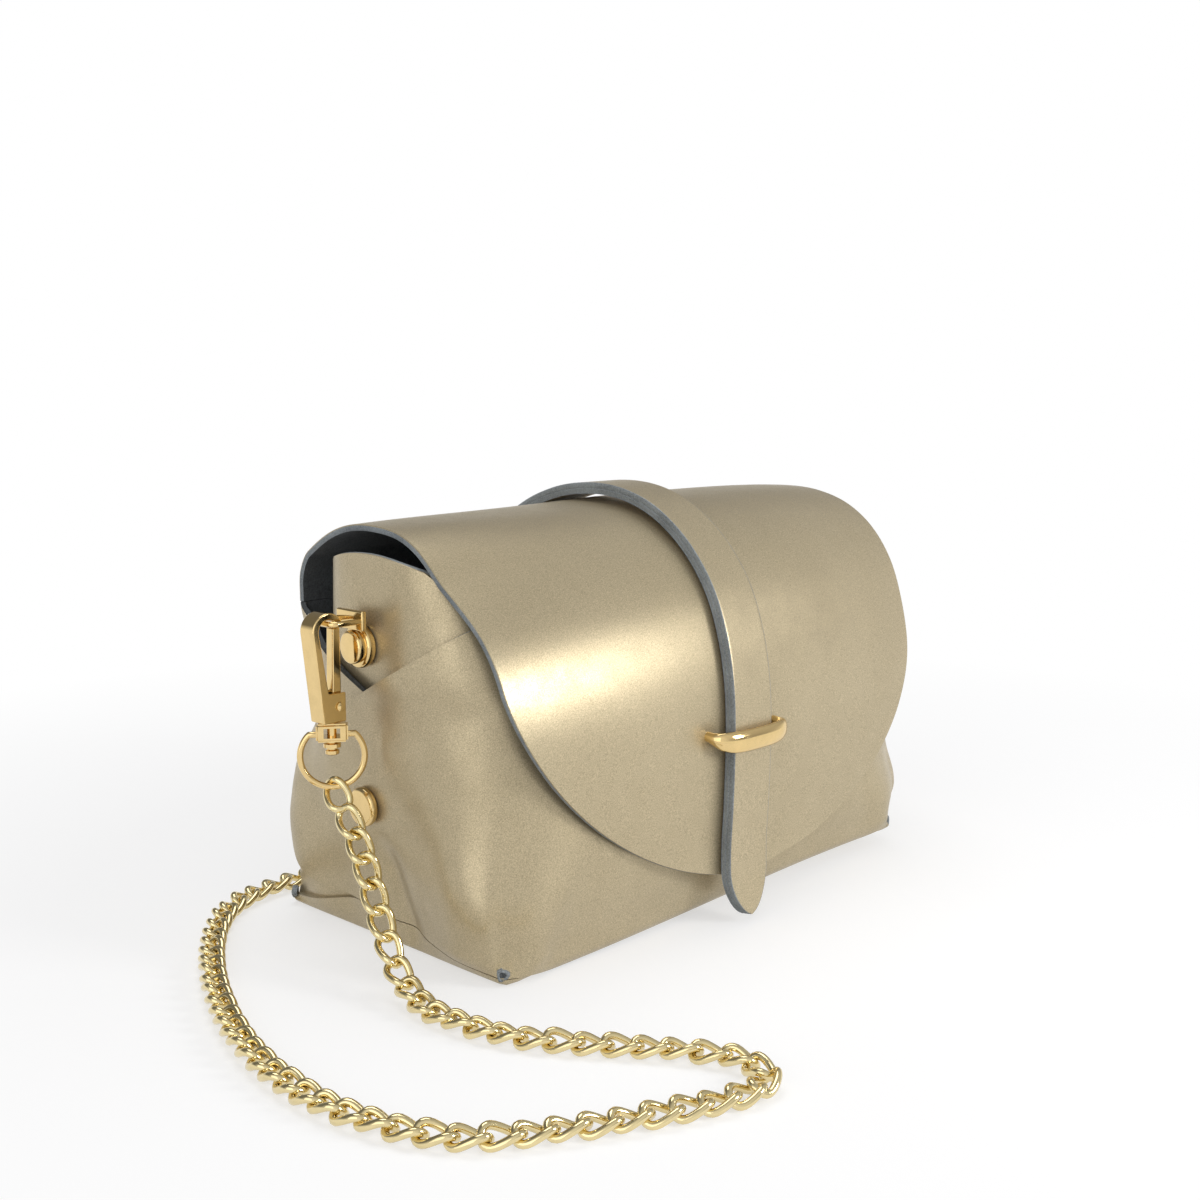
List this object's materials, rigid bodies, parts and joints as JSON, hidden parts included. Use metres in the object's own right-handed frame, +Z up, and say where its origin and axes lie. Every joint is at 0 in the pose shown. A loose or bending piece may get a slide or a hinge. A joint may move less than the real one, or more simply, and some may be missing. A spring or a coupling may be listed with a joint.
{
  "type": "leather crossbody bag",
  "caption": "Small structured leather bag with a round flap, a strap closure through a metal loop, crossed side wings and a chain strap on snap hooks.",
  "frame": {"origin": "centre of the base's underside, on the surface the bag stands on", "axes": "+Z up, the front with the flap and strap faces -Y, the width runs along X"},
  "size_m": [0.2856, 0.2593, 0.1286],
  "materials": {
    "leather": "metallic pale gold leather, fine grain, satin",
    "gold_hardware": "polished gold plating",
    "chain_metal": "polished gold plating"
  },
  "bodies": {
    "bag": {"back_panel": "leather", "base_panel": "leather", "chain": "chain_metal", "chain_link_left": "chain_metal", "chain_link_right": "chain_metal", "front_panel": "leather", "hook_left_body": "gold_hardware", "hook_left_gate_pin": "gold_hardware", "hook_right_body": "gold_hardware", "hook_right_gate_pin": "gold_hardware", "ring_stud_left_base": "gold_hardware", "ring_stud_left_eye": "gold_hardware", "ring_stud_left_screw": "gold_hardware", "ring_stud_right_base": "gold_hardware", "ring_stud_right_eye": "gold_hardware", "ring_stud_right_screw": "gold_hardware", "side_stud_left_cap": "gold_hardware", "side_stud_left_screw": "gold_hardware", "side_stud_right_cap": "gold_hardware", "side_stud_right_screw": "gold_hardware", "side_tongue_left": "leather", "side_tongue_right": "leather", "strap_rivet_lower": "gold_hardware", "strap_rivet_upper": "gold_hardware", "strap_tail": "leather", "swivel_left_pin": "gold_hardware", "swivel_right_pin": "gold_hardware"},
    "flap_body": {"flap": "leather", "strap_inner_ply": "leather", "strap_outer_ply": "leather", "closure_loop": "gold_hardware", "closure_loop_nut_left": "gold_hardware", "closure_loop_nut_right": "gold_hardware"},
    "gate_left": {"hook_left_gate": "gold_hardware"},
    "swivel_left": {"swivel_left_collar": "gold_hardware", "swivel_left_ring": "gold_hardware"},
    "gate_right": {"hook_right_gate": "gold_hardware"},
    "swivel_right": {"swivel_right_collar": "gold_hardware", "swivel_right_ring": "gold_hardware"}
  },
  "joints": [
    {"name": "flap_hinge", "type": "hinge", "parent": "bag", "child": "flap_body", "pos_m": [0, 0.0419, 0.094], "axis": [-1, 0, 0], "range_deg": [0, 110]},
    {"name": "hook_gate_left", "type": "hinge", "parent": "bag", "child": "gate_left", "pos_m": [-0.10677, 0, 0.07149], "axis": [0, -1, 0], "range_deg": [0, 12], "stiffness_Nm_per_rad": 0.01},
    {"name": "swivel_turn_left", "type": "hinge", "parent": "bag", "child": "swivel_left", "pos_m": [-0.10767, 0, 0.0636], "axis": [0, 0, 1], "range_deg": [-15, 15]},
    {"name": "hook_gate_right", "type": "hinge", "parent": "bag", "child": "gate_right", "pos_m": [0.10677, 0, 0.07149], "axis": [0, 1, 0], "range_deg": [0, 12], "stiffness_Nm_per_rad": 0.01},
    {"name": "swivel_turn_right", "type": "hinge", "parent": "bag", "child": "swivel_right", "pos_m": [0.10767, 0, 0.0636], "axis": [0, 0, 1], "range_deg": [-15, 15]}
  ]
}
